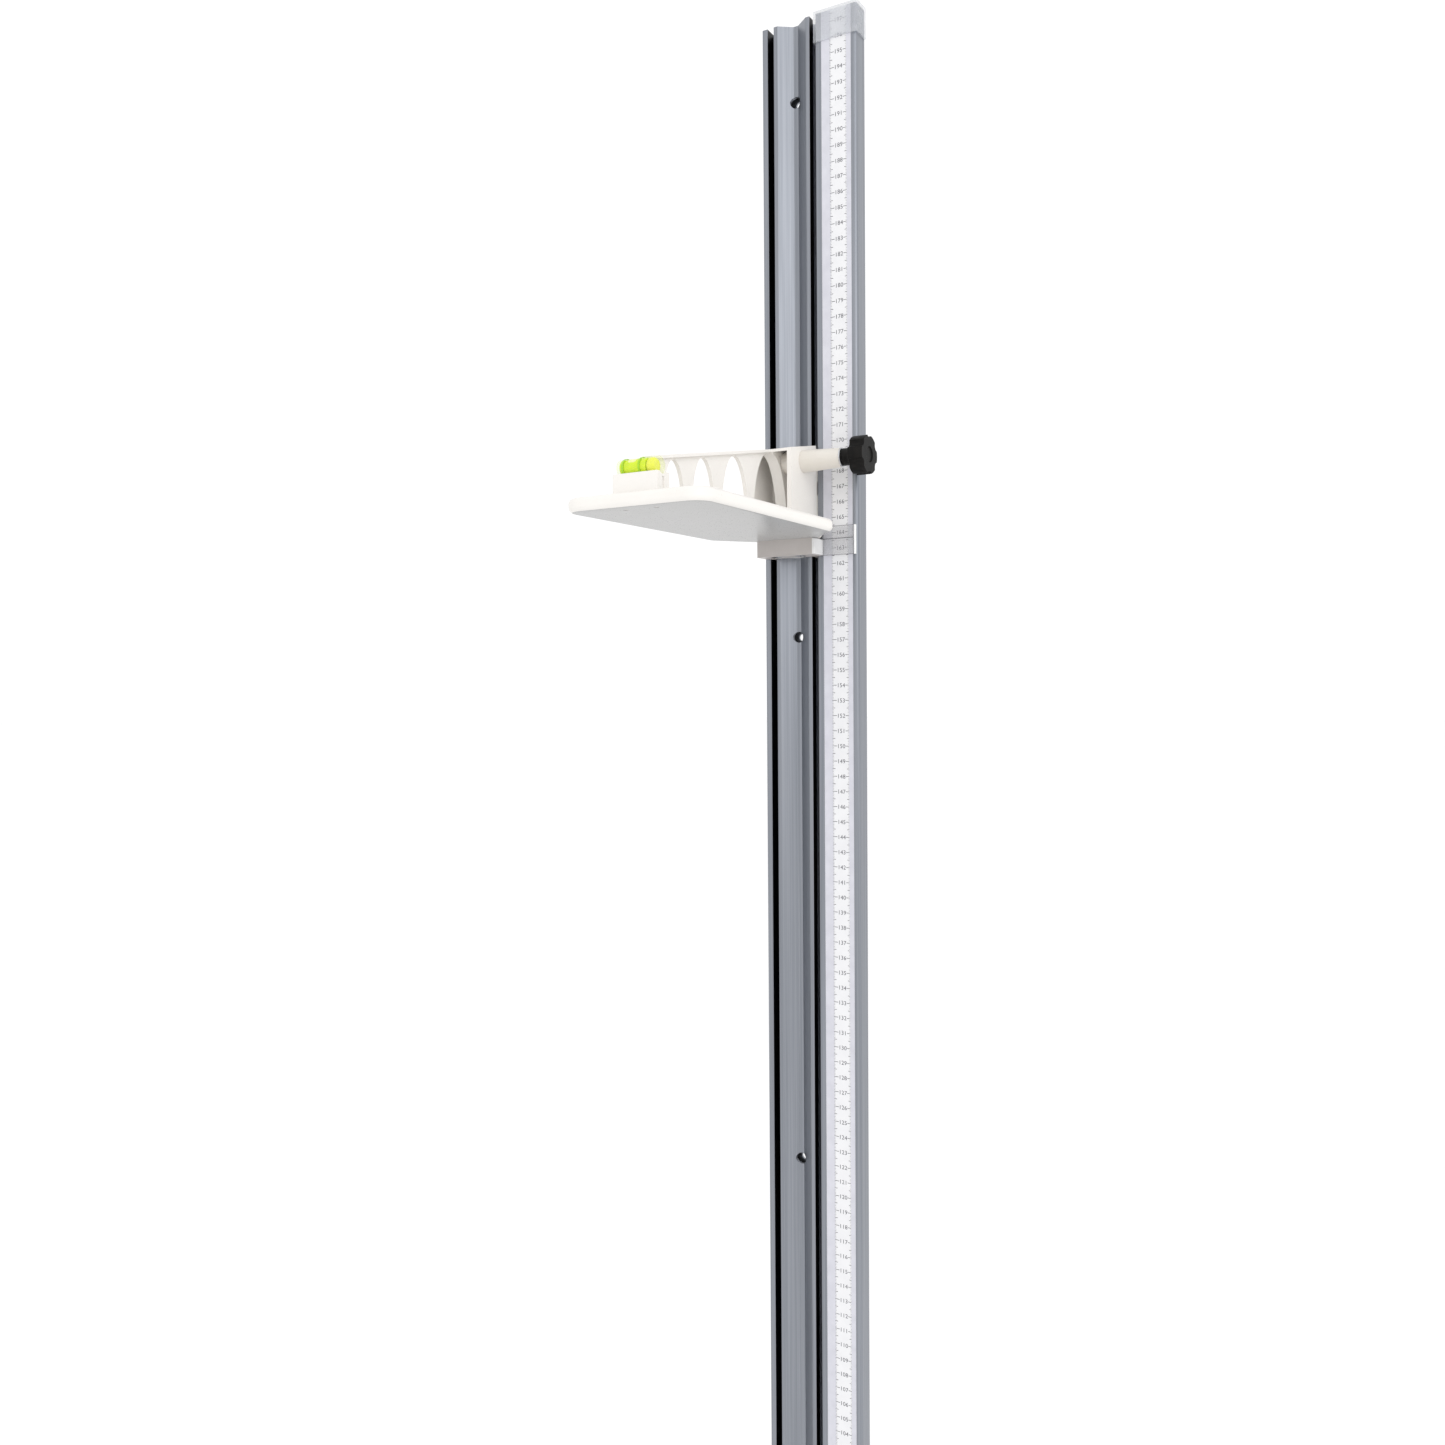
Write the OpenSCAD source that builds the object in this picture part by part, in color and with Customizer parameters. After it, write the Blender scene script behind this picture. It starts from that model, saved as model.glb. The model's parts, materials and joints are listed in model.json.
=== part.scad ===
// Wall-mounted height rod with a sliding headpiece, all sizes in millimetres.
// X runs along the wall to the right, +Y into the wall, +Z up.
// The origin is the centre of the rail's back face, on the wall.

/* [Rail] */
// Length of the rail
rail_len = 1520; // [1260:10:1830]
// Depth of the rail from the wall to its front face
rail_d = 13; // [11:0.5:16]
// Width of the land between the two guide grooves
land_w = 26.3; // [25.3:0.1:31.7]
// Width of each guide groove
groove_w = 4.6; // [4.2:0.1:5.6]
// Width of the tape box on the right
box_w = 28.75; // [24:0.25:34.5]
// Distance from either end of the rail to its nearest screw hole
hole_end = 50; // [30:1:80]
// Number of screw holes
hole_count = 5; // [3:1:7]
// Diameter of the hole that takes the screw's shank
shank_hole_d = 4.6; // [3.5:0.1:6]
// Diameter of the opening in front of it that lets the screw's head in
access_hole_d = 7.4; // [6.5:0.1:8.5]

/* [Tape] */
// Height above the floor, as printed on the tape, at the rail's top end
top_reading = 1977.5; // [1900:0.5:2200]
// Reading at which the headpiece stands
head_reading = 1636; // [1400:0.5:1880]

/* [Headpiece] */
// Width of the head plate at its front
plate_w = 92.5; // [80:0.5:111]
// Reach of the head plate from the rail's front face
plate_len = 193; // [188:1:232]
// Height of the head plate's rim
plate_t = 8; // [7:0.5:10]
// Height of the carriage's top above the plate's underside, at the rail
carriage_h = 62; // [60:1:74]
// Width of the lower guide block
block_w = 40.5; // [38.5:0.5:48]

/* [Clamp] */
// Outer diameter of the sleeve where it leaves the carriage
sleeve_d = 14.4; // [12:0.2:17]
// Reach of the sleeve's end from the channel's centre
sleeve_reach = 44; // [37:1:52]
// Diameter of the clamp screw
screw_d = 6; // [5:0.5:6.5]
// Diameter of the knob over its lobes
knob_d = 24.4; // [20.4:0.2:29.2]

/* [Level] */
// Outer diameter of the vial
vial_d = 9.8; // [8.2:0.2:11.6]
// Length of the vial between its ends
vial_len = 26; // [21.5:0.5:28]

/* [Hidden] */
$fn = 48;
eps = 0.01;
past = 1;

// Colours
alloy = "#9aa0a8";
white = "#f4f1ea";
cream = "#ece6d8";
clear = [0.85, 0.9, 0.92, 0.4];
frosted = [0.8, 0.82, 0.85, 0.6];
black = "#17171a";
steel = "#b9bcc0";
brass = "#c9a24a";
acetal = "#e6e6e2";
lime = "#cfe034";
yellow = "#e4e84a";
glass = [0.95, 1, 0.7, 0.35];

// Radial or sideways play between a piece and the bore or groove that holds it
fit = 0.05;
seat = 0.02;
play = 0.1;

// Rail section: the channel lies to the left, the tape box to the right
wall_t = 1.6;
flange_w = 3.75;
rail_w = flange_w + 2 * groove_w + land_w + box_w;
ridge_w = 2.65;
groove_floor = 2.5;
groove_depth = rail_d - groove_floor;
undercut = 1.8;
undercut_h = 5;
corner_r = 2.5;
ch_x = -rail_w / 2 + flange_w + groove_w + land_w / 2;
box_x = rail_w / 2 - box_w;
trough_half = land_w / 2 - ridge_w;
trough_floor = 1.7;
trough_d = 6.5;
trough_slope = (trough_half - trough_floor) / trough_d;
trough_wall_y = wall_t * sqrt(1 + trough_slope * trough_slope) / trough_slope;
hole_pitch = (rail_len - 2 * hole_end) / (hole_count - 1);

// Tape and caps
tape_t = 0.3;
tape_recess = 0.4;
tape_margin = 3.85;
tape_x = box_x + tape_margin;
tape_w = box_w - 2 * tape_margin;
cap_t = 1.2;
cap_skirt = 18.7;
plug_deep = 8;

// Headpiece frame: x from the channel's centre, y from the rail's front face
// (negative towards the room), z from the plate's underside
head_z = head_reading - (top_reading - rail_len / 2);
panel_t = 3;
panel_x = land_w / 2 + groove_w / 2;
panel_in = panel_x - panel_t / 2;
panel_out = panel_x + panel_t / 2;
carriage_front = 37;
carriage_back = 1;
top_slope = 0.187;
top_t = 1.8;
rib_half = 3.75;
back_wall = 3;
back_gap = 1.4;
tongue_in = groove_depth - 0.8;
tongue_top = 2;
foot_t = 3.7;
foot_w = undercut + (groove_w - panel_t) / 2 - 0.4;

// Glide pads
pad_t = (groove_w - panel_t) / 2 - 0.2;
pad_len = 18;
pad_deep = 3.4;
pad_y = 2.5;
pad_peg_r = 1;
pad_low_z = 20.5;
pad_high_z = carriage_h - 15;
pad_end = 1;

// Head plate
skin_t = 2.5;
rim_t = 3;
front_r = 12;
shoulder_r = 10;
shoulder_y = 38;
shoulder_turn = 30;
plate_taper = 1.2;
neck_half = 22.5;
neck_y = 4;
neck_len = 4;
web_t = 2.4;
flange_half = 3.5;
// Centre and half width of each arch, counted from the rail
arches = [[38, 20], [81, 16], [118, 12.5], [150, 10.5]];
arch_cover = 2.6;
// Cross ribs on the plate, between the arches
ribs = [60, 99.5, 133];
rib_t = 1.5;
rib_h = 5;

// Lower guide
block_h = 10.8;
block_front = 14.5;
key_w = 2;
key_deep = 2.4;
key_y = 9.5;
key_h = 3;
shoe_gap = 0.15;
shoe_inset = 0.5;
shoe_lip = 0.6;
spring_t = 0.4;
spring_half = 7;
spring_bow = 1.8;
pocket_half = 8;
pocket_d = 3.2;
pocket_edge = 2;
bolt_x = 9;
bolt_y = 8.2;
bolt_r = 2;
bolt_head_r = 3.5;
bolt_head_h = 2.5;
socket_r = 1.6;
socket_h = 1.4;
bolt_in = 14;
boss_r = 4.5;
boss_end = 2;

// Window
window_t = 1.8;
window_half = 9.5;
window_drop = 1.5;
window_gap = 1.4;
window_short = 0.7;
window_end = rail_w / 2 - ch_x - window_short;
line_h = 0.4;
line_d = 0.3;
line_end = 1;

// Clamp
screw_y = 19;
screw_z = carriage_h - 13.4;
screw_r = screw_d / 2;
sleeve_end_d = sleeve_d - 2.4;
sleeve_left = rib_half + eps;
sleeve_plain = 2;
sleeve_bore_r = screw_r + 0.4;
insert_len = 7.5;
insert_r = screw_r + 1.2;
washer_t = 1;
washer_r = 6.3;
collar_x = sleeve_reach + washer_t;
collar_len = 8;
collar_r = 5.5;
flare_len = 3;
knob_x = collar_x + collar_len;
knob_t = 10;
lobes = 6;
scallop_r = 3.4;
dish_r = 5;
dish_d = 0.8;
screw_in_knob = 6;
screw_end = knob_x + screw_in_knob;
tip_x = -1.5;
tip_room = 1.2;
pin_r = 2.5;
pin_tip_y = -screw_y - tip_x;
pin_in_shoe = 3;
shoe_len = 21;
shoe_front = 0.2;
shoe_back = 0.2;

// Level
level_y = plate_len - 11.5;
holder_half = 14.5;
holder_d = 12;
holder_h = 10.7;
holder_base = 0.5;
slot_w = 1.8;
slot_deep = 0.8;
slot_low = 2;
slot_high = 8;
peg_x = 10;
peg_r = 1.5;
web_front = level_y - holder_d / 2 - 0.5;
vial_r = vial_d / 2;
vial_sink = 1.3;
vial_z = plate_t + holder_h + vial_r - vial_sink;
vial_wall = 1.3;
vial_end = 2;
plug_in = 7.4;
tip_in = 2.3;
bore_r = vial_r - vial_wall;
cell_x = -0.13 * vial_len;
ring_gap = 5.3;
ring_w = 1.1;
ring_h = 0.25;
bubble_r = 1.9;
bubble_half = 2.6;
bubble_z = vial_z + bore_r - bubble_r - 0.3;

function arc(cx, cy, r, from, to, n = 8) =
    [for (i = [0:n]) let (a = from + (to - from) * i / n) [cx + r * cos(a), cy + r * sin(a)]];
function mirrored(points) = [for (i = [len(points) - 1:-1:0]) [-points[i].x, points[i].y]];
function top_z(y) = carriage_h + y * top_slope;

// Right half of the plate's outline, drawn inside the edge by inset
function plate_side(inset) = concat(
    arc(plate_w / 2 - front_r, -plate_len + front_r, front_r - inset, -90, 0),
    arc(plate_w / 2 - plate_taper - shoulder_r, -shoulder_y, shoulder_r - inset, 0, shoulder_turn),
    [[neck_half - inset, -neck_y - neck_len], [neck_half - inset, -neck_y]]);
function plate_outline(inset) = concat(plate_side(inset), mirrored(plate_side(inset)));

module at_head() {
    translate([ch_x, -rail_d, head_z]) children();
}

// A cylinder along X from x0 to x1, in the headpiece's frame
module x_rod(x0, x1, r0, r1, y, z) {
    translate([x0, y, z]) rotate([0, 90, 0]) cylinder(h = x1 - x0, r1 = r0, r2 = r1);
}

// A cylinder along Y from y0 to y1
module y_rod(y0, y1, r0, r1, x, z) {
    translate([x, y0, z]) rotate([-90, 0, 0]) cylinder(h = y1 - y0, r1 = r0, r2 = r1);
}

// A box between two corners
module block(low, high) {
    translate(low) cube(high - low);
}

// A side profile in y and z, extruded along X between x0 and x1
module side_plate(x0, x1) {
    translate([x0, 0, 0]) rotate([90, 0, 90]) linear_extrude(x1 - x0) children();
}

module trough_section(gap, front, back) {
    half_front = trough_half + front * trough_slope - gap;
    half_back = trough_half - back * trough_slope - gap;
    polygon([[-half_front, -front], [half_front, -front], [half_back, back], [-half_back, back]]);
}

module groove_section() {
    translate([land_w / 2, -past]) square([groove_w, groove_depth + past]);
    translate([land_w / 2 - undercut, groove_depth - undercut_h]) square([undercut + eps, undercut_h]);
}

module channel_section() {
    trough_section(0, past, trough_d);
    groove_section();
    mirror([1, 0]) groove_section();
    hollow_half = trough_half - wall_t;
    hollow_side = [
        [trough_floor, trough_d + trough_wall_y],
        [hollow_half, wall_t / trough_slope + trough_wall_y],
        [hollow_half, rail_d - wall_t]
    ];
    polygon(concat(hollow_side, mirrored(hollow_side)));
}

module rail_section() {
    difference() {
        polygon(concat(
            [[-rail_w / 2, 0], [-rail_w / 2, -rail_d]],
            arc(rail_w / 2 - corner_r, -rail_d + corner_r, corner_r, -90, 0, 6),
            [[rail_w / 2, 0]]));
        translate([ch_x, -rail_d]) channel_section();
        translate([box_x + wall_t, -rail_d + wall_t + tape_recess])
            square([rail_w / 2 - box_x - 2 * wall_t, rail_d - 2 * wall_t - tape_recess]);
        translate([tape_x, -rail_d - past]) square([tape_w, tape_recess + past]);
    }
}

module rail_extrusion() {
    color(alloy)
    difference() {
        translate([0, 0, -rail_len / 2]) linear_extrude(rail_len) rail_section();
        for (i = [0:hole_count - 1])
            translate([ch_x, 0, -rail_len / 2 + hole_end + i * hole_pitch]) {
                y_rod(-wall_t - past, past, shank_hole_d / 2, shank_hole_d / 2, 0, 0);
                y_rod(-rail_d, -wall_t - past, access_hole_d / 2, access_hole_d / 2, 0, 0);
            }
    }
}

module scale_tape() {
    color("white")
    block([tape_x + eps, -rail_d + tape_recess - tape_t, -rail_len / 2],
          [tape_x + tape_w - eps, -rail_d + tape_recess, rail_len / 2]);
}

// A cap for the upper end of the tape box: its left wall reaches down into the groove
module end_cap() {
    inner_x = box_x - fit;
    outer_x = rail_w / 2 + fit;
    front_y = -rail_d - fit;
    plug_low = [box_x + wall_t + play, -rail_d + wall_t + tape_recess + play];
    plug_high = [rail_w / 2 - wall_t - play, -wall_t - play];
    color(frosted)
    translate([0, 0, rail_len / 2]) {
        difference() {
            union() {
                block([inner_x, front_y - cap_t, -cap_skirt], [outer_x + cap_t, 0, cap_t]);
                block([inner_x - cap_t, front_y - cap_t, -cap_skirt],
                      [inner_x + eps, groove_depth - rail_d - fit, cap_t]);
            }
            block([inner_x, front_y, -cap_skirt - past], [outer_x, past, 0]);
        }
        difference() {
            block([plug_low.x, plug_low.y, -plug_deep], [plug_high.x, plug_high.y, eps]);
            block([plug_low.x + cap_t, plug_low.y + cap_t, -plug_deep - past],
                  [plug_high.x - cap_t, plug_high.y - cap_t, 0]);
        }
    }
}

module top_cap() {
    end_cap();
}

module bottom_cap() {
    mirror([0, 0, 1]) end_cap();
}

// Each arch is the upper half of an oval, drawn in y and z
module web_arches() {
    for (a = arches) {
        rise = top_z(-a[0]) - arch_cover - plate_t;
        polygon([for (i = [0:36]) [-a[0] + a[1] * cos(i * 5), plate_t + rise * sin(i * 5)]]);
    }
}

// A strip that follows the sloping top between two places along y
module top_strip(front, back, depth) {
    polygon([[front, top_z(front) - depth], [back, top_z(back) - depth],
             [back, top_z(back)], [front, top_z(front)]]);
}

module web_side(back) {
    polygon([[-web_front, skin_t], [back, skin_t],
             [back, top_z(back) - eps], [-web_front, top_z(-web_front) - eps]]);
}

module head_plate() {
    color(white)
    at_head() difference() {
        union() {
            linear_extrude(skin_t) polygon(plate_outline(0));
            linear_extrude(plate_t) difference() {
                polygon(plate_outline(0));
                intersection() {
                    polygon(plate_outline(rim_t));
                    translate([-plate_w, -plate_len]) square([2 * plate_w, plate_len - carriage_front - 1]);
                }
            }
            block([-holder_half - 1, -plate_len + rim_t - eps, skin_t - eps],
                  [holder_half + 1, -web_front, plate_t]);
            for (y = ribs)
                block([-plate_w / 2 + rim_t, -y - rib_t / 2, skin_t - eps],
                      [plate_w / 2 - rim_t, -y + rib_t / 2, rib_h]);
            side_plate(-web_t / 2, web_t / 2) difference() {
                web_side(-carriage_front);
                web_arches();
            }
            side_plate(-flange_half, flange_half) top_strip(-web_front, -carriage_front, top_t);
        }
        for (side = [-1, 1]) {
            translate([side * bolt_x, -bolt_y, -past]) cylinder(h = plate_t + 2 * past, r = bolt_r + play);
            translate([side * peg_x, -level_y, -past]) cylinder(h = plate_t + 2 * past, r = peg_r + seat);
        }
    }
}

// A side panel that becomes a tongue with an inward foot in its groove
module guide_tongue(z0, z1) {
    block([panel_in, -carriage_back - eps, z0], [panel_out, tongue_in, z1]);
    block([panel_in - foot_w, tongue_in - foot_t, z0], [panel_in + eps, tongue_in, z1]);
}

module carriage_side() {
    polygon([[-carriage_front, plate_t], [-carriage_back, plate_t],
             [-carriage_back, top_z(-carriage_back)], [-carriage_front, top_z(-carriage_front)]]);
}

module carriage_body() {
    color(white)
    at_head() difference() {
        union() {
            for (side = [0, 1]) mirror([side, 0, 0]) {
                side_plate(panel_in, panel_out) carriage_side();
                guide_tongue(plate_t, top_z(-carriage_back) - tongue_top);
                translate([bolt_x, -bolt_y, plate_t]) cylinder(h = bolt_in + boss_end, r = boss_r);
            }
            side_plate(-rib_half, rib_half) difference() {
                polygon([[-carriage_front, plate_t], [-back_gap, plate_t],
                         [-back_gap, top_z(-back_gap)], [-carriage_front, top_z(-carriage_front)]]);
                web_arches();
            }
            side_plate(-panel_out, panel_out) top_strip(-carriage_front, -back_gap, top_t);
            block([-panel_in - eps, -back_gap - back_wall, plate_t],
                  [panel_in + eps, -back_gap, top_z(-back_gap) - 1]);
        }
        x_rod(rib_half, panel_out + past, sleeve_d / 2 + seat, sleeve_d / 2 + seat, -screw_y, screw_z);
        x_rod(tip_x - tip_room, rib_half + past, screw_r + fit, screw_r + fit, -screw_y, screw_z);
        y_rod(-screw_y, past, pin_r + fit, pin_r + fit, 0, screw_z);
        for (side = [-1, 1])
            translate([side * bolt_x, -bolt_y, plate_t - past])
                cylinder(h = bolt_in + past, r = bolt_r + fit);
        for (z = [pad_low_z, pad_high_z])
            x_rod(-panel_out - past, panel_out + past, pad_peg_r + seat, pad_peg_r + seat, pad_y, z);
    }
}

module clamp_sleeve() {
    color(cream)
    at_head() difference() {
        union() {
            x_rod(sleeve_left, panel_out + sleeve_plain, sleeve_d / 2, sleeve_d / 2, -screw_y, screw_z);
            x_rod(panel_out + sleeve_plain - eps, sleeve_reach, sleeve_d / 2, sleeve_end_d / 2,
                  -screw_y, screw_z);
        }
        x_rod(0, sleeve_reach, sleeve_bore_r, sleeve_bore_r, -screw_y, screw_z);
        x_rod(sleeve_reach - insert_len, sleeve_reach + past, insert_r, insert_r, -screw_y, screw_z);
    }
}

module sleeve_insert() {
    color(brass)
    at_head() difference() {
        x_rod(sleeve_reach - insert_len, sleeve_reach, insert_r, insert_r, -screw_y, screw_z);
        x_rod(0, sleeve_reach + past, screw_r + fit, screw_r + fit, -screw_y, screw_z);
    }
}

// The key that locks the window's leg into the block's side, grown by gap
module window_key(gap) {
    block([block_w / 2 - key_deep - gap, -key_y - key_w / 2 - gap, -block_h / 2 - key_h / 2 - gap],
          [block_w / 2 + eps, -key_y + key_w / 2 + gap, -block_h / 2 + key_h / 2 + gap]);
}

module guide_block() {
    color("#d8d2cf")
    at_head() difference() {
        union() {
            block([-block_w / 2, -block_front, -block_h], [block_w / 2, -carriage_back, 0]);
            for (side = [0, 1]) mirror([side, 0, 0]) guide_tongue(-block_h, 0);
        }
        block([-pocket_half, -carriage_back - pocket_d, -block_h + pocket_edge],
              [pocket_half, past, -pocket_edge]);
        for (side = [-1, 1])
            translate([side * bolt_x, -bolt_y, -block_h - past]) {
                cylinder(h = block_h + 2 * past, r = bolt_r + play);
                cylinder(h = bolt_head_h + past, r = bolt_head_r + play);
            }
        window_key(play);
        x_rod(-panel_out - past, panel_out + past, pad_peg_r + seat, pad_peg_r + seat, pad_y, -block_h / 2);
    }
}

module guide_shoe() {
    lip_half = pocket_half - 0.3;
    lip_edge = pocket_edge + 0.3;
    color(acetal)
    at_head() {
        translate([0, 0, -block_h + shoe_inset]) linear_extrude(block_h - 2 * shoe_inset)
            trough_section(shoe_gap, carriage_back - shoe_front, trough_d - shoe_back);
        block([-lip_half, -carriage_back - shoe_lip, -block_h + lip_edge], [lip_half, 0, -lip_edge]);
    }
}

module guide_spring() {
    chord_y = -carriage_back - shoe_lip - spring_t;
    bow_r = (spring_half * spring_half + spring_bow * spring_bow) / (2 * spring_bow);
    half_turn = asin(spring_half / bow_r);
    edge = pocket_edge + 1;
    color(steel)
    at_head() translate([0, chord_y + bow_r - spring_bow, -block_h + edge]) linear_extrude(block_h - 2 * edge)
        polygon(concat(
            arc(0, 0, bow_r, -90 - half_turn, -90 + half_turn, 10),
            arc(0, 0, bow_r - spring_t, -90 + half_turn, -90 - half_turn, 10)));
}

// Two pads joined by a peg through the tongue between them
module pad_pair(side, z, length) {
    at_side = side * panel_x;
    for (face = [-1, 1])
        translate([at_side + face * (panel_t + pad_t) / 2, pad_y, z])
            cube([pad_t, pad_deep, length], center = true);
    x_rod(at_side - panel_t / 2 - eps, at_side + panel_t / 2 + eps, pad_peg_r, pad_peg_r, pad_y, z);
}

module glide_pads() {
    color(acetal)
    at_head() for (side = [-1, 1]) {
        pad_pair(side, pad_low_z, pad_len);
        pad_pair(side, pad_high_z, pad_len);
        pad_pair(side, -block_h / 2, block_h - 2 * pad_end);
    }
}

module carriage_screws() {
    color(steel)
    at_head() for (side = [-1, 1]) translate([side * bolt_x, -bolt_y, -block_h]) {
        difference() {
            cylinder(h = bolt_head_h, r = bolt_head_r);
            translate([0, 0, -past]) cylinder(h = socket_h + past, r = socket_r, $fn = 6);
        }
        translate([0, 0, bolt_head_h - eps])
            cylinder(h = block_h - bolt_head_h + plate_t + bolt_in - past, r = bolt_r);
    }
}

module reading_window() {
    leg_x = block_w / 2;
    color(clear)
    at_head() difference() {
        union() {
            block([leg_x, -block_front, -block_h + 0.3], [leg_x + window_t, -window_gap, -0.4]);
            block([leg_x, -window_gap - window_t, -window_half - window_drop],
                  [window_end, -window_gap, window_half - window_drop]);
            window_key(0);
        }
        block([leg_x + window_t, -window_gap - line_d, -line_h / 2],
              [window_end - line_end, past, line_h / 2]);
    }
}

module reading_line() {
    color(black)
    at_head() block([block_w / 2 + window_t, -window_gap - line_d, -line_h / 2],
                    [window_end - line_end, -window_gap, line_h / 2]);
}

module level_holder() {
    slot_half = slot_w / 2;
    color(white)
    at_head() difference() {
        union() {
            translate([-holder_half, -level_y - holder_d / 2, plate_t])
                cube([2 * holder_half, holder_d, holder_h]);
            for (side = [-1, 1])
                translate([side * peg_x, -level_y, holder_base]) cylinder(h = plate_t, r = peg_r);
        }
        x_rod(-holder_half - past, holder_half + past, vial_r + seat, vial_r + seat, -level_y, vial_z);
        block([holder_half - slot_deep, -level_y - slot_half, plate_t + slot_low],
              [holder_half + past, -level_y + slot_half, plate_t + slot_high]);
    }
}

module level_vial() {
    color(glass)
    at_head() difference() {
        x_rod(-vial_len / 2, vial_len / 2, vial_r, vial_r, -level_y, vial_z);
        x_rod(-vial_len / 2 + vial_end, vial_len / 2 + past, bore_r, bore_r, -level_y, vial_z);
    }
}

module level_fluid() {
    color(lime)
    at_head() difference() {
        x_rod(-vial_len / 2 + vial_end, vial_len / 2 - plug_in, bore_r, bore_r, -level_y, vial_z);
        x_rod(cell_x - bubble_half, cell_x + bubble_half, bubble_r, bubble_r, -level_y, bubble_z);
        for (side = [-1, 1])
            translate([cell_x + side * bubble_half, -level_y, bubble_z]) sphere(r = bubble_r);
    }
}

module level_plug() {
    color(yellow)
    at_head() x_rod(vial_len / 2 - plug_in, vial_len / 2 - tip_in, bore_r, bore_r, -level_y, vial_z);
}

// The rings stop at the holder, in which the vial lies
module level_rings() {
    color(black)
    at_head() for (x = [cell_x - ring_gap, cell_x + ring_gap]) difference() {
        x_rod(x - ring_w / 2, x + ring_w / 2, vial_r + ring_h, vial_r + ring_h, -level_y, vial_z);
        x_rod(-vial_len / 2, vial_len / 2, vial_r, vial_r, -level_y, vial_z);
        translate([-holder_half, -level_y - holder_d / 2 - past, 0])
            cube([2 * holder_half, holder_d + 2 * past, plate_t + holder_h]);
    }
}

module thrust_washer() {
    color(steel)
    at_head() difference() {
        x_rod(sleeve_reach, collar_x, washer_r, washer_r, -screw_y, screw_z);
        x_rod(sleeve_reach - past, collar_x + past, screw_r + play, screw_r + play, -screw_y, screw_z);
    }
}

module knob_outline() {
    difference() {
        circle(d = knob_d);
        for (i = [0:lobes - 1])
            rotate(i * 360 / lobes) translate([knob_d / 2 + scallop_r / 2, 0]) circle(r = scallop_r);
    }
}

module knob_head() {
    flare_x = knob_x - flare_len;
    flare_r = knob_d / 2 - scallop_r - 1;
    knob_end = knob_x + knob_t;
    color(black)
    at_head() difference() {
        union() {
            x_rod(collar_x, flare_x, collar_r, collar_r, -screw_y, screw_z);
            x_rod(flare_x - eps, knob_x + eps, collar_r, flare_r, -screw_y, screw_z);
            translate([knob_x, -screw_y, screw_z]) rotate([0, 90, 0]) linear_extrude(knob_t) knob_outline();
        }
        x_rod(collar_x - past, screw_end, screw_r, screw_r, -screw_y, screw_z);
        x_rod(knob_end - dish_d, knob_end + past, dish_r, dish_r, -screw_y, screw_z);
    }
}

module clamp_screw() {
    color(steel)
    at_head() {
        x_rod(tip_x, tip_x + screw_r, 0, screw_r, -screw_y, screw_z);
        x_rod(tip_x + screw_r - eps, screw_end, screw_r, screw_r, -screw_y, screw_z);
    }
}

module brake_pin() {
    nose_y = pin_tip_y + 1.5 * fit;
    color(steel)
    at_head() {
        y_rod(nose_y, nose_y + pin_r, 0, pin_r, 0, screw_z);
        y_rod(nose_y + pin_r - eps, pin_in_shoe - shoe_front, pin_r, pin_r, 0, screw_z);
    }
}

module brake_shoe() {
    color(black)
    at_head() difference() {
        translate([0, 0, screw_z - shoe_len / 2]) linear_extrude(shoe_len)
            trough_section(shoe_gap, shoe_front, trough_d - shoe_back);
        y_rod(-past, pin_in_shoe - shoe_front, pin_r, pin_r, 0, screw_z);
    }
}

rail_extrusion();
scale_tape();
top_cap();
bottom_cap();
head_plate();
carriage_body();
clamp_sleeve();
sleeve_insert();
guide_block();
guide_shoe();
guide_spring();
glide_pads();
carriage_screws();
reading_window();
reading_line();
level_holder();
level_vial();
level_fluid();
level_plug();
level_rings();
thrust_washer();
knob_head();
clamp_screw();
brake_pin();
brake_shoe();
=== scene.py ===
import json
import math

import bpy
from mathutils import Matrix, Vector


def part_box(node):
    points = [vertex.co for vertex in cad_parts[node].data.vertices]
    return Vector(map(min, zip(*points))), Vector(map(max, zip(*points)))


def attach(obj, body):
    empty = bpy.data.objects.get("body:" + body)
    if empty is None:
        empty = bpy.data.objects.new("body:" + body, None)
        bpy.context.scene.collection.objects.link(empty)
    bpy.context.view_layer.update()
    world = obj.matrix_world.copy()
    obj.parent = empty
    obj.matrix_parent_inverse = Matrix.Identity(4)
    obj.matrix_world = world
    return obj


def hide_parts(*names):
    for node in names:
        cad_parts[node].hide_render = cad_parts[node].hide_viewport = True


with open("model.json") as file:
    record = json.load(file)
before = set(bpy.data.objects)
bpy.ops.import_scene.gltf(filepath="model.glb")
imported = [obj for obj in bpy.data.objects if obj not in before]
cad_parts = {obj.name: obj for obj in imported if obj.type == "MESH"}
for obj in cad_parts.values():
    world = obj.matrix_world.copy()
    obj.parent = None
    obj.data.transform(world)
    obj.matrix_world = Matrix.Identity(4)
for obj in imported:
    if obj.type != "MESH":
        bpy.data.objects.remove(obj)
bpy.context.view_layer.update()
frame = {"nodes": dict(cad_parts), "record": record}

MM = 0.001

# Places worked out from the frame
rail_low, rail_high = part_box("rail_extrusion")
tape_low, tape_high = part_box("scale_tape")
plate_low, plate_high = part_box("head_plate")
carriage_low, carriage_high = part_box("carriage_body")
block_low, block_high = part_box("guide_block")
window_low, window_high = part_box("reading_window")
vial_low, vial_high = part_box("level_vial")
fluid_low, fluid_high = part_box("level_fluid")
plug_low, plug_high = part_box("level_plug")
rings_low, rings_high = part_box("level_rings")
channel_x = (block_low.x + block_high.x) / 2
front_y = rail_low.y

# Each outer panel of the carriage runs in the middle of a guide groove
panel_t = 3 * MM
groove_x = carriage_high.x - channel_x - panel_t / 2

# The tape reads the height above the floor, this many metres at the rail's top
top_reading = 1.9775
floor_z = rail_high.z - top_reading


# ---------------------------------------------------------------- materials

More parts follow.
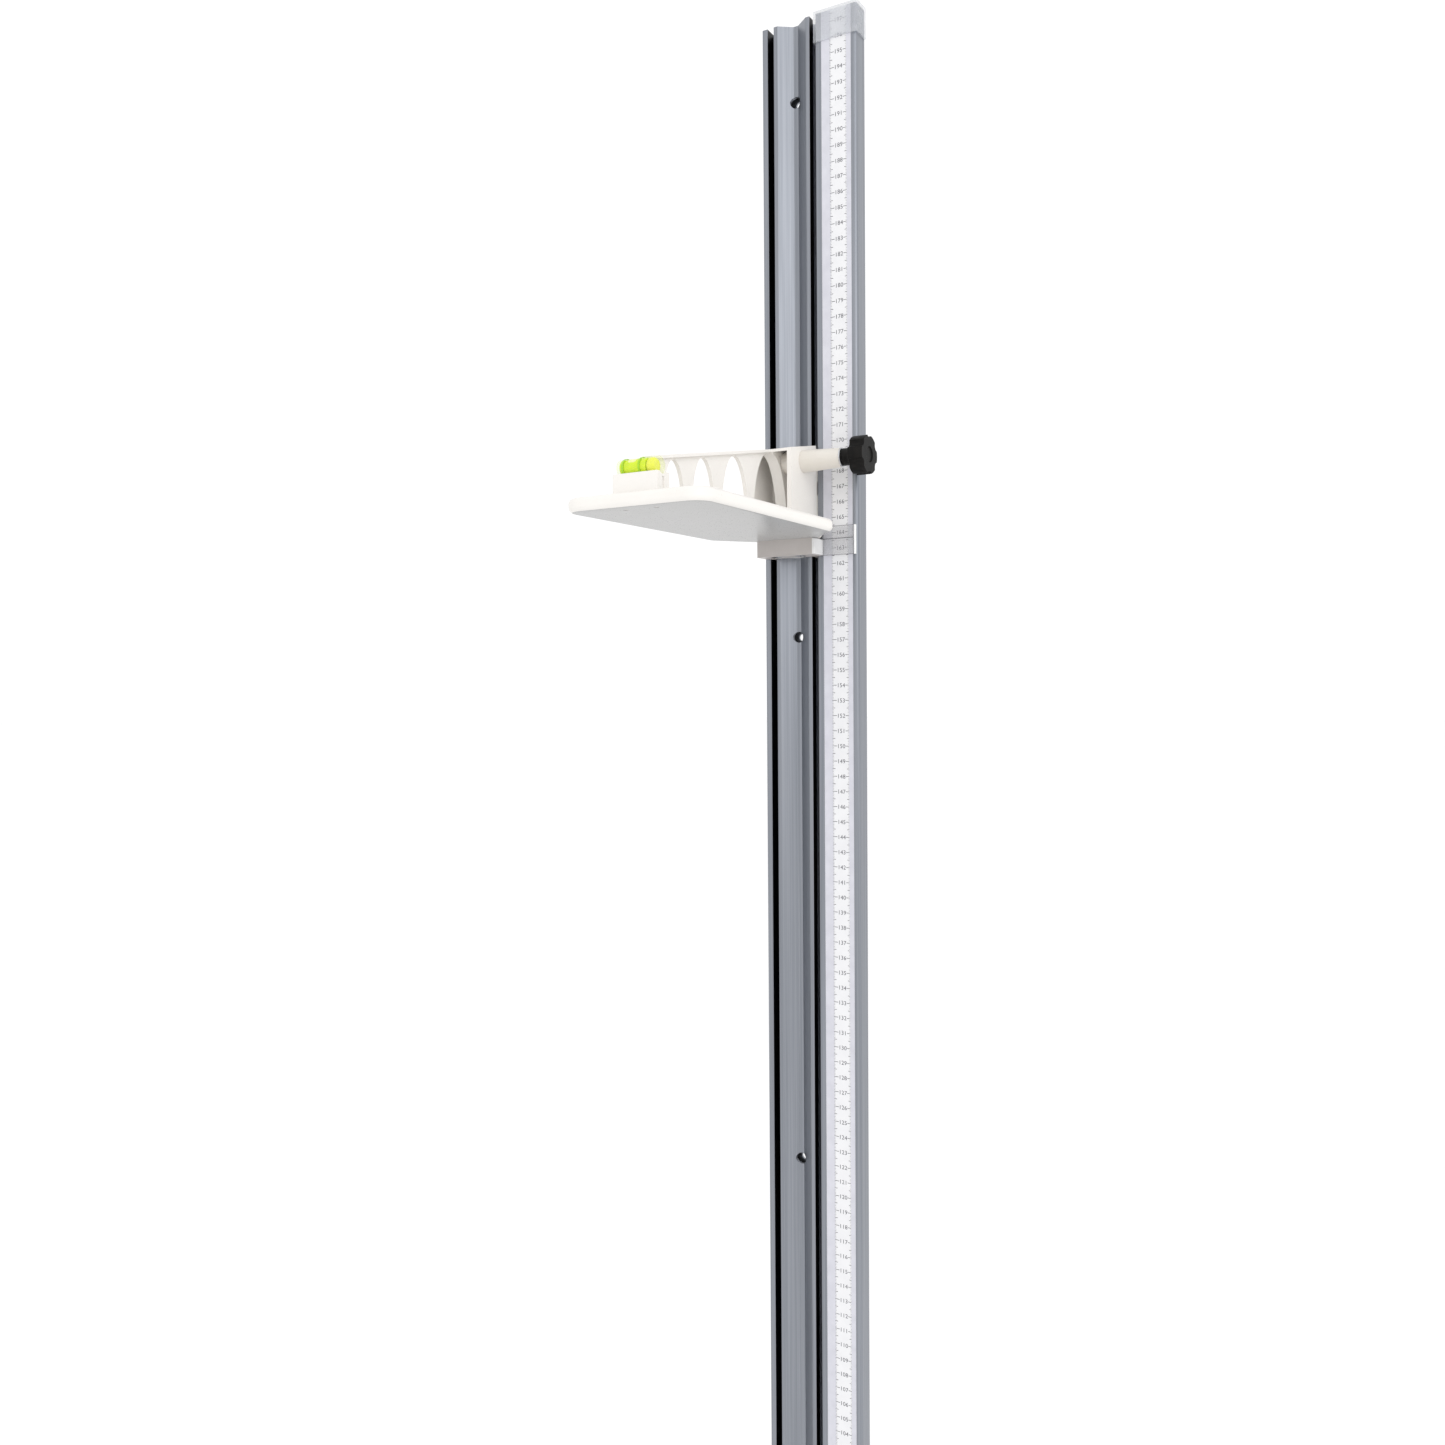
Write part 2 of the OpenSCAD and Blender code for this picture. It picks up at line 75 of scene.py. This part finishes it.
def link(tree, source, target):
    tree.links.new(source, target)


def noise(tree, coords, scale, stretch=(1, 1, 1), detail=3):
    mapping = tree.nodes.new("ShaderNodeMapping")
    mapping.inputs["Scale"].default_value = stretch
    link(tree, coords, mapping.inputs["Vector"])
    texture = tree.nodes.new("ShaderNodeTexNoise")
    texture.inputs["Scale"].default_value = scale
    texture.inputs["Detail"].default_value = detail
    link(tree, mapping.outputs["Vector"], texture.inputs["Vector"])
    return texture.outputs["Fac"]


def spread(tree, factor, low, high):
    """Maps the range that a noise mostly keeps to, 0.3 to 0.7, to low..high."""
    ranged = tree.nodes.new("ShaderNodeMapRange")
    ranged.inputs["From Min"].default_value = 0.3
    ranged.inputs["From Max"].default_value = 0.7
    ranged.inputs["To Min"].default_value = low
    ranged.inputs["To Max"].default_value = high
    link(tree, factor, ranged.inputs["Value"])
    return ranged.outputs["Result"]


def blend(tree, factor, first, second):
    """Mixes two colours, each a tuple or a socket."""
    mix = tree.nodes.new("ShaderNodeMix")
    mix.data_type = "RGBA"
    link(tree, factor, mix.inputs["Factor"])
    for socket, value in ((mix.inputs["A"], first), (mix.inputs["B"], second)):
        if isinstance(value, tuple):
            socket.default_value = (*value, 1)
        else:
            link(tree, value, socket)
    return mix.outputs["Result"]


def math_node(tree, operation, *values):
    """A calculation on numbers and sockets."""
    node = tree.nodes.new("ShaderNodeMath")
    node.operation = operation
    for socket, value in zip(node.inputs, values):
        if isinstance(value, (int, float)):
            socket.default_value = value
        else:
            link(tree, value, socket)
    return node.outputs["Value"]


def axes(tree, coords):
    """The X, Y and Z of a point, as the outputs of one node."""
    parts = tree.nodes.new("ShaderNodeSeparateXYZ")
    link(tree, coords, parts.inputs["Vector"])
    return parts.outputs


def surface(name, first, second, scale, rough, stretch=(1, 1, 1), grain=None, bump=0.1, **sockets):
    """A procedural surface: two tones in soft patches, uneven roughness and a fine relief.
    Returns the material, its shader, its colour socket and its coordinates."""
    relief_depth = 0.02 * MM
    material = bpy.data.materials.new(name)
    material.use_nodes = True
    tree = material.node_tree
    shader = tree.nodes["Principled BSDF"]
    coords = tree.nodes.new("ShaderNodeTexCoord").outputs["Object"]
    patches = noise(tree, coords, scale, stretch)
    colour = blend(tree, spread(tree, patches, 0, 1), first, second)
    link(tree, colour, shader.inputs["Base Color"])
    fine = noise(tree, coords, grain or scale * 6, stretch, detail=5)
    link(tree, spread(tree, fine, rough[0], rough[1]), shader.inputs["Roughness"])
    relief = tree.nodes.new("ShaderNodeBump")
    relief.inputs["Strength"].default_value = bump
    relief.inputs["Distance"].default_value = relief_depth
    link(tree, fine, relief.inputs["Height"])
    link(tree, relief.outputs["Normal"], shader.inputs["Normal"])
    for socket, value in sockets.items():
        shader.inputs[socket.replace("_", " ")].default_value = value
    return material, shader, colour, coords


def plain(*args, **sockets):
    """A surface's material alone."""
    return surface(*args, **sockets)[0]


def rail_material():
    """Satin anodised extrusion with die lines along it, and painted shade that darkens the insides of the
    guide grooves.
    """
    material, shader, colour, coords = surface(
        "anodised_aluminium", (0.24, 0.255, 0.285), (0.31, 0.325, 0.36), 900, (0.3, 0.44),
        stretch=(1, 1, 0.006), grain=2600, bump=0.25, Metallic=0.9)
    # Painted shade: the metal inside both guide grooves is blended to near black, standing in for the shade
    # deep in the grooves.
    groove_half = 2.3 * MM
    shade_half = groove_half * 1.03  # takes in the groove's walls
    shade_from, shade_to = 0.3 * MM, 10.6 * MM  # behind the rail's front
    shade_middle, shade_reach = front_y + (shade_from + shade_to) / 2, (shade_to - shade_from) / 2
    tree = material.node_tree
    parts = axes(tree, coords)
    in_left = math_node(tree, "COMPARE", parts["X"], channel_x - groove_x, shade_half)
    in_right = math_node(tree, "COMPARE", parts["X"], channel_x + groove_x, shade_half)
    in_depth = math_node(tree, "COMPARE", parts["Y"], shade_middle, shade_reach)
    painted_groove_shade = math_node(tree, "MULTIPLY", math_node(tree, "ADD", in_left, in_right), in_depth)
    link(tree, blend(tree, painted_groove_shade, colour, (0.012, 0.012, 0.014)), shader.inputs["Base Color"])
    return material


WHITE = ((0.86, 0.835, 0.8), (0.88, 0.855, 0.82), 60, (0.27, 0.31))
WHITE_RELIEF = {"grain": 900, "bump": 0.01, "Specular_IOR_Level": 0.25}


def plate_material():
    """The white of the other mouldings, with painted shade: a grey underside that stands in for the shade
    beneath the plate.
    """
    shade_depth = 0.25 * MM
    material, shader, colour, coords = surface("plate_moulding", *WHITE, **WHITE_RELIEF)
    tree = material.node_tree
    # Painted shade: the bottom 0.25 mm of the plate, its underside, is blended to grey.
    underside_mask = math_node(tree, "LESS_THAN", axes(tree, coords)["Z"], plate_low.z + shade_depth)
    painted_under_shade = blend(tree, noise(tree, coords, 120), (0.42, 0.417, 0.412), (0.46, 0.457, 0.452))
    link(tree, blend(tree, underside_mask, colour, painted_under_shade), shader.inputs["Base Color"])
    return material


white = plain("warm_white_moulding", *WHITE, **WHITE_RELIEF)
cream = plain("cream_moulding", (0.74, 0.70, 0.64), (0.77, 0.735, 0.68), 70, (0.34, 0.46),
              grain=1200, bump=0.08)
grey = plain("grey_moulding", (0.5, 0.465, 0.445), (0.54, 0.505, 0.485), 80, (0.3, 0.42),
             grain=1200, bump=0.08)
black = plain("black_moulding", (0.007, 0.007, 0.007), (0.014, 0.013, 0.012), 120, (0.36, 0.5),
              grain=2200, bump=0.35, Specular_IOR_Level=0.08)
rubber = plain("black_rubber", (0.012, 0.012, 0.012), (0.02, 0.02, 0.02), 150, (0.6, 0.8), bump=0.3)
steel = plain("zinc_plated_steel", (0.6, 0.61, 0.63), (0.7, 0.71, 0.73), 200, (0.2, 0.34),
              stretch=(1, 0.1, 0.1), Metallic=1.0)
brass = plain("turned_brass", (0.62, 0.46, 0.17), (0.72, 0.55, 0.22), 300, (0.22, 0.36), Metallic=1.0)
acetal = plain("acetal", (0.82, 0.82, 0.79), (0.86, 0.86, 0.83), 200, (0.35, 0.45))
ink = plain("black_ink", (0.03, 0.03, 0.035), (0.06, 0.06, 0.07), 800, (0.5, 0.65))
film = plain("printed_film", (0.78, 0.78, 0.8), (0.82, 0.82, 0.835), 90, (0.4, 0.52), grain=1500,
             bump=0.04)
margin_ink = plain("lilac_margin", (0.6, 0.6, 0.66), (0.66, 0.66, 0.72), 140, (0.4, 0.52),
                   grain=1500, bump=0.04)
tick_ink = plain("grey_ink", (0.06, 0.06, 0.075), (0.1, 0.1, 0.12), 900, (0.5, 0.62))
frosted = plain("frosted_plastic", (0.66, 0.68, 0.72), (0.74, 0.76, 0.8), 120, (0.3, 0.42),
                grain=900, bump=0.1, Alpha=0.3)
clear = plain("clear_acrylic", (0.5, 0.5, 0.51), (0.55, 0.55, 0.56), 90, (0.04, 0.09),
              grain=500, bump=0.02, Alpha=0.2)
# Painted highlight: a near-white, almost opaque finish for the clear acrylic's polished edges, standing in
# for the glare on them.
edge_painted_highlight = plain("polished_edge", (0.9, 0.9, 0.9), (0.97, 0.97, 0.97), 200, (0.12, 0.2),
                    Alpha=0.9)
# Painted shade for the window pane's top and bottom edges
rim_painted_shade = plain("window_rim_shade", (0.14, 0.14, 0.15), (0.18, 0.18, 0.19), 400, (0.3, 0.4))
vial_glass = plain("vial_acrylic", (0.75, 0.86, 0.1), (0.8, 0.9, 0.16), 200, (0.04, 0.08),
                   bump=0, Alpha=0.16)
fluid = plain("spirit", (0.6, 0.8, 0.015), (0.72, 0.86, 0.02), 260, (0.15, 0.22))
plug = plain("yellow_plug", (0.82, 0.84, 0.06), (0.88, 0.88, 0.14), 300, (0.25, 0.35))
# The bubble is a real part of the level; its pale, almost white colour is painted highlight
bubble_gloss = plain("bubble_gloss", (0.88, 0.86, 0.4), (0.93, 0.9, 0.55), 500, (0.08, 0.14))
ring_ink = plain("green_ring", (0.34, 0.62, 0.02), (0.42, 0.68, 0.03), 500, (0.4, 0.5))

FINISH = {
    "anodised": rail_material(), "tape": film, "frosted": frosted, "white_moulding": white,
    "cream_moulding": cream, "grey_moulding": grey, "acetal": acetal, "steel": steel,
    "brass": brass, "clear": clear, "black_print": ink, "vial": vial_glass, "fluid": fluid,
    "plug": plug, "black_moulding": black, "black_rubber": rubber,
}
slot_of = {part["node"]: part["material_slot"] for part in frame["record"]["subparts"]}
for name, node in frame["nodes"].items():
    node.data.materials.clear()
    node.data.materials.append(FINISH[slot_of[name]])
frame["nodes"]["level_rings"].data.materials[0] = ring_ink
frame["nodes"]["head_plate"].data.materials[0] = plate_material()


# ---------------------------------------------------------------- softened edges of the mouldings

def weld(obj):
    """Joins the corners that neighbouring faces of a CAD mesh don't share."""
    modifier = obj.modifiers.new("weld", "WELD")
    modifier.merge_threshold = 0.002 * MM


def soften(name, width, segments=3, angle=30):
    """Rounds the sharp edges of a CAD piece, as on a moulding or an extrusion."""
    node = frame["nodes"][name]
    weld(node)
    flatten = node.modifiers.new("flat_faces", "DECIMATE")
    flatten.decimate_type = "DISSOLVE"
    flatten.angle_limit = math.radians(0.5)
    bevel = node.modifiers.new("soft_edges", "BEVEL")
    bevel.width = width
    bevel.segments = segments
    bevel.limit_method = "ANGLE"
    bevel.angle_limit = math.radians(angle)
    bevel.harden_normals = True
    bevel.use_clamp_overlap = True


soften("rail_extrusion", 0.18 * MM, segments=2)
soften("thrust_washer", 0.15 * MM, segments=2)
soften("knob_head", 0.8 * MM, angle=40)
soften("carriage_body", 0.35 * MM)
soften("clamp_sleeve", 0.4 * MM)
for name in ("guide_block", "level_holder"):
    soften(name, 0.5 * MM)
for name in ("top_cap", "bottom_cap"):
    soften(name, 0.3 * MM)


# ---------------------------------------------------------------- the plate, with its rim rounded

def linked(name, verts, faces):
    """A mesh object in the scene."""
    mesh = bpy.data.meshes.new(name)
    mesh.from_pydata(verts, [], faces)
    obj = bpy.data.objects.new(name, mesh)
    bpy.context.scene.collection.objects.link(obj)
    return obj


def arc(centre_x, centre_y, radius, first, last, steps):
    """The points of a round stretch between two angles in degrees."""
    turns = [math.radians(first + (last - first) * i / steps) for i in range(steps + 1)]
    return [(centre_x + radius * math.cos(a), centre_y + radius * math.sin(a)) for a in turns]


def plate_ring(inset):
    """The plate's outline seen from above, drawn inside its edge by inset."""
    front_r, shoulder_r, taper = 12 * MM, 10 * MM, 1.2 * MM
    shoulder_y, neck_half, neck_y, back_y = 38 * MM, 22.5 * MM, 8 * MM, 3 * MM
    half = (plate_high.x - plate_low.x) / 2
    side = arc(half - front_r, plate_low.y + front_r, front_r - inset, -90, 0, 12)
    side += arc(half - taper - shoulder_r, front_y - shoulder_y, shoulder_r - inset, 0, 30, 6)
    side += [(neck_half - inset, front_y - neck_y), (neck_half - inset, front_y + back_y)]
    return [(channel_x + x, y) for x, y in side] + [(channel_x - x, y) for x, y in reversed(side)]


def loft(name, rings):
    """A closed solid through outlines of the same length, each given as (outline, z)."""
    count = len(rings[0][0])
    verts = [(x, y, z) for outline, z in rings for x, y in outline]
    faces = [tuple(reversed(range(count))), tuple(range(len(verts) - count, len(verts)))]
    for low in range(0, len(verts) - count, count):
        high = low + count
        for i in range(count):
            j = (i + 1) % count
            faces.append((low + i, low + j, high + j, high + i))
    return linked(name, verts, faces)


def plate_cutter():
    """What is kept of the plate: a rim with round edges, and everything above the rim."""
    rim_h, round_r, steps = 8 * MM, 3.2 * MM, 6
    outside, below, above, shelf = 0.05 * MM, 0.01 * MM, 0.02 * MM, 0.03 * MM
    wide, over = 6 * MM, 5 * MM
    turns = [math.radians(90 * step / steps) for step in range(steps + 1)]
    rings = [(plate_ring(round_r * (1 - math.sin(a)) - outside),
              plate_low.z + round_r * (1 - math.cos(a)) - below) for a in turns]
    rings += [(plate_ring(round_r * (1 - math.cos(a)) - outside),
               plate_low.z + rim_h - round_r * (1 - math.sin(a)) + above) for a in turns]
    rings.append((plate_ring(-wide), plate_low.z + rim_h + shelf))
    rings.append((plate_ring(-wide), plate_high.z + over))
    return loft("plate_cutter", rings)


def rounded_plate():
    """The CAD plate with the cutter's round edges, flat above and below and smooth around its rim."""
    cutter = plate_cutter()
    plate = bpy.data.objects.new("plate", frame["nodes"]["head_plate"].data.copy())
    bpy.context.scene.collection.objects.link(plate)
    weld(plate)
    cut = plate.modifiers.new("cut", "BOOLEAN")
    cut.operation = "INTERSECT"
    cut.solver = "EXACT"
    cut.object = cutter
    bpy.context.view_layer.update()
    mesh = bpy.data.meshes.new_from_object(plate.evaluated_get(bpy.context.evaluated_depsgraph_get()))
    plate.modifiers.clear()
    plate.data = mesh
    bpy.data.objects.remove(cutter)
    if "custom_normal" in mesh.attributes:
        mesh.attributes.remove(mesh.attributes["custom_normal"])
    for polygon in mesh.polygons:
        polygon.use_smooth = abs(polygon.normal.z) < 0.999
    mesh.set_sharp_from_angle(angle=math.radians(32))
    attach(plate, "headpiece")
    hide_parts("head_plate")


rounded_plate()


# ---------------------------------------------------------------- printed scale

def piece(name, verts, faces, material, body):
    """A visible piece that rides on a body."""
    obj = linked(name, verts, faces)
    obj.data.materials.append(material)
    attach(obj, body)
    return obj


def strip(verts, faces, x0, x1, z0, z1, y):
    """Adds an upright rectangle that faces the room."""
    start = len(verts)
    verts += [(x0, y, z0), (x1, y, z0), (x1, y, z1), (x0, y, z1)]
    faces.append((start, start + 1, start + 2, start + 3))


# The margins lie on the film, and the ink on the margins
LEFT_MARGIN, RIGHT_MARGIN, FILM_EDGE = 6.2 * MM, 3.3 * MM, 0.1 * MM
margin_left = tape_low.x + LEFT_MARGIN
margin_right = tape_high.x - RIGHT_MARGIN
margin_y = tape_low.y - 0.02 * MM
ink_y = tape_low.y - 0.04 * MM

verts, faces = [], []
strip(verts, faces, tape_low.x + FILM_EDGE, margin_left, tape_low.z, tape_high.z, margin_y)
strip(verts, faces, margin_right, tape_high.x - FILM_EDGE, tape_low.z, tape_high.z, margin_y)
piece("tape_margins", verts, faces, margin_ink, "rail")

# A tick's length goes by its reading: centimetre, half centimetre, millimetre
CM_TICK, HALF_TICK, MM_TICK = 3.2 * MM, 2.0 * MM, 1.0 * MM
TICK_T, FINE_T = 0.34 * MM, 0.16 * MM
RIGHT_SHARE, TICK_OVERLAP = 0.75, 0.3 * MM
first_mm = math.ceil((tape_low.z - floor_z) / MM) + 1
last_mm = math.floor((tape_high.z - floor_z) / MM) - 1
tick_left = margin_left - TICK_OVERLAP
verts, faces = [], []
for reading in range(first_mm, last_mm + 1):
    if reading % 10 == 0:
        length, half = CM_TICK, TICK_T / 2
    elif reading % 5 == 0:
        length, half = HALF_TICK, TICK_T / 2
    else:
        length, half = MM_TICK, FINE_T / 2
    z = floor_z + reading * MM
    strip(verts, faces, tick_left, tick_left + length, z - half, z + half, ink_y)
    strip(verts, faces, margin_right - length * RIGHT_SHARE, margin_right, z - half, z + half, ink_y)
piece("tape_ticks", verts, faces, tick_ink, "rail")


def digit_shapes(size):
    """The outlines of the ten digits as flat meshes: {digit: (points, polygons)}."""
    shapes = {}
    for digit in "0123456789":
        curve = bpy.data.curves.new("digit_" + digit, "FONT")
        curve.body = digit
        curve.size = size
        curve.resolution_u = 3
        obj = bpy.data.objects.new("digit_" + digit, curve)
        bpy.context.scene.collection.objects.link(obj)
        bpy.context.view_layer.update()
        mesh = obj.evaluated_get(bpy.context.evaluated_depsgraph_get()).to_mesh()
        points = [(v.co.x, v.co.y) for v in mesh.vertices]
        shapes[digit] = (points, [tuple(p.vertices) for p in mesh.polygons])
        bpy.data.objects.remove(obj)
        bpy.data.curves.remove(curve)
    return shapes


DIGIT_SIZE, DIGIT_STEP, DIGIT_HIGH, NUMBER_SHIFT = 3.9 * MM, 2.0 * MM, 2.8 * MM, 0.2 * MM
number_x = (margin_left + margin_right) / 2 + NUMBER_SHIFT
shapes = digit_shapes(DIGIT_SIZE)
verts, faces = [], []
for cm in range(math.ceil(first_mm / 10), last_mm // 10 + 1):
    text = str(cm)
    z = floor_z + cm * 10 * MM - DIGIT_HIGH / 2
    for place, digit in enumerate(text):
        points, polygons = shapes[digit]
        x = number_x + (place - len(text) / 2) * DIGIT_STEP
        start = len(verts)
        verts += [(x + px, ink_y, z + pz) for px, pz in points]
        faces += [tuple(start + i for i in polygon) for polygon in polygons]
piece("tape_numerals", verts, faces, tick_ink, "rail")


# ---------------------------------------------------------------- clear window and its edges

def slabs(name, material, *corners):
    """A piece of the window made of blocks, each given as (low corner, high corner)."""
    verts, faces = [], []
    for low, high in corners:
        start = len(verts)
        verts += [(x, y, z) for x in (low[0], high[0]) for y in (low[1], high[1]) for z in (low[2], high[2])]
        for side in ((0, 1, 3, 2), (4, 6, 7, 5), (0, 4, 5, 1), (2, 3, 7, 6), (0, 2, 6, 4), (1, 5, 7, 3)):
            faces.append(tuple(start + corner for corner in side))
    return piece(name, verts, faces, material, "headpiece")


# The pane lies over the tape, and its leg beside the guide block. The key inside the block isn't drawn
EDGE_T, PANE_T, RIM_T, RIM_LIFT = 0.9 * MM, 1.8 * MM, 0.3 * MM, 0.05 * MM
LEG_GAP, LEG_BELOW, LEG_ABOVE = 0.02 * MM, 0.3 * MM, 0.4 * MM
pane_y = window_high.y - PANE_T
pane_left = block_high.x + PANE_T
pane_right = window_high.x - EDGE_T
pane = slabs("window_pane", clear, ((pane_left, pane_y, window_low.z),
                                    (pane_right, window_high.y, window_high.z)))
# The leg and the end edge carry the painted highlight.
slabs("window_leg", edge_painted_highlight, ((block_high.x + LEG_GAP, window_low.y, block_low.z + LEG_BELOW),
                                  (pane_left, window_high.y, block_high.z - LEG_ABOVE)))
slabs("window_end_edge", edge_painted_highlight, ((pane_right, pane_y, window_low.z), window_high))
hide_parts("reading_window")
# Painted shade: dark strips along the pane's top and bottom edges.
slabs("window_rims", rim_painted_shade, *[((pane_left, pane_y - RIM_LIFT, z), (pane_right, pane_y, z + RIM_T))
                                for z in (window_low.z, window_high.z - RIM_T)])


# ---------------------------------------------------------------- the level as its thick tube magnifies it

def turned(name, profile, centre_y, centre_z, material):
    """A solid of revolution along X, from (x, radius) pairs."""
    around = 32
    verts, faces = [], []
    for x, radius in profile:
        for j in range(around):
            a = 2 * math.pi * j / around
            verts.append((x, centre_y + radius * math.cos(a), centre_z + radius * math.sin(a)))
    for low in range(0, len(verts) - around, around):
        high = low + around
        for j in range(around):
            k = (j + 1) % around
            faces.append((low + j, low + k, high + k, high + j))
    faces += [tuple(reversed(range(around))), tuple(range(len(verts) - around, len(verts)))]
    made = piece(name, verts, faces, material, "headpiece")
    for polygon in made.data.polygons:
        polygon.use_smooth = len(polygon.vertices) == 4
    return made


def rod_profile(x0, x1, radius, edge):
    """A rod with rounded ends, edge being the radius of the rounding."""
    turns = [math.radians(90 * i / 5) for i in range(6)]
    left = [(x0 + edge * (1 - math.sin(t)), radius - edge * (1 - math.cos(t))) for t in reversed(turns)]
    return left + [(x0 + x1 - x, r) for x, r in reversed(left)]


FLUID_WALL, PLUG_WALL = 0.35 * MM, 0.45 * MM
BUBBLE_HALF, BUBBLE_R, BUBBLE_EDGE = 4 * MM, 2.45 * MM, 2.4 * MM
BUBBLE_FORWARD, BUBBLE_UP = 1.5 * MM, 1.8 * MM
axis = (vial_low + vial_high) / 2
vial_r = (vial_high.y - vial_low.y) / 2
cell_x = (rings_low.x + rings_high.x) / 2
tube = turned("level_tube", rod_profile(vial_low.x, vial_high.x, vial_r, edge=0.8 * MM),
              axis.y, axis.z, vial_glass)
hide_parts("level_vial")
liquid = turned("level_liquid",
                rod_profile(fluid_low.x, fluid_high.x, vial_r - FLUID_WALL, edge=0.5 * MM),
                axis.y, axis.z, fluid)
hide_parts("level_fluid")
end_plug = turned("level_end_plug",
                  rod_profile(plug_low.x, plug_high.x, vial_r - PLUG_WALL, edge=2 * MM),
                  axis.y, axis.z, plug)
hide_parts("level_plug")
# The bubble is real; its pale colour is a painted highlight.
turned("level_bubble", rod_profile(cell_x - BUBBLE_HALF, cell_x + BUBBLE_HALF, BUBBLE_R, BUBBLE_EDGE),
       axis.y - BUBBLE_FORWARD, axis.z + BUBBLE_UP, bubble_gloss)


# ---------------------------------------------------------------- stage, light and camera

def floor():
    """A plain pale floor, as far below the rod as the tape says."""
    half = 60.0
    corners = [(x, y, floor_z) for x, y in ((-half, -half), (half, -half), (half, half), (-half, half))]
    paint = plain("floor_paint", (0.95, 0.95, 0.95), (0.97, 0.97, 0.97), 1.5, (0.8, 0.9), bump=0)
    obj = linked("floor", corners, [(0, 1, 2, 3)])
    obj.data.materials.append(paint)
    return obj


def softbox(name, place, aim, size, watts):
    """A square light that faces a point."""
    light = bpy.data.lights.new(name, "AREA")
    light.shape = "SQUARE"
    light.size = size
    light.energy = watts
    obj = bpy.data.objects.new(name, light)
    obj.location = place
    obj.rotation_euler = (Vector(aim) - Vector(place)).to_track_quat("-Z", "Y").to_euler()
    bpy.context.scene.collection.objects.link(obj)
    return obj


carriage_centre = (carriage_low + carriage_high) / 2
lights = [softbox("key", place=(2.0, -1.8, 1.5), aim=carriage_centre, size=2.2, watts=16)]
floor()

world = bpy.data.worlds.new("studio")
world.use_nodes = True
background = world.node_tree.nodes["Background"]
background.inputs["Color"].default_value = (1, 1, 1, 1)
background.inputs["Strength"].default_value = 1.06
bpy.context.scene.world = world
bpy.context.scene.view_settings.view_transform = "Standard"


def make_camera(place, yaw, pitch, roll, lens):
    """Angles in degrees; yaw 0 looks along +Y and turns to the left."""
    y, p, r = (math.radians(a) for a in (yaw, pitch, roll))
    ahead = Vector((-math.sin(y) * math.cos(p), math.cos(y) * math.cos(p), math.sin(p)))
    level = Vector((math.cos(y), math.sin(y), 0))
    above = level.cross(ahead)
    right = level * math.cos(r) + above * math.sin(r)
    up = above * math.cos(r) - level * math.sin(r)
    data = bpy.data.cameras.new("camera")
    data.sensor_width = 36
    data.lens = lens
    data.clip_start = 0.01
    data.clip_end = 60
    obj = bpy.data.objects.new("camera", data)
    obj.matrix_world = Matrix((
        (right.x, up.x, -ahead.x, place[0]), (right.y, up.y, -ahead.y, place[1]),
        (right.z, up.z, -ahead.z, place[2]), (0, 0, 0, 1)))
    bpy.context.scene.collection.objects.link(obj)
    bpy.context.scene.camera = obj


# The photo's view, matched on the tape's graduations
make_camera(place=(0.3592, -0.7427, 0.3226), yaw=30.41, pitch=-1.72, roll=-0.43, lens=30.37)
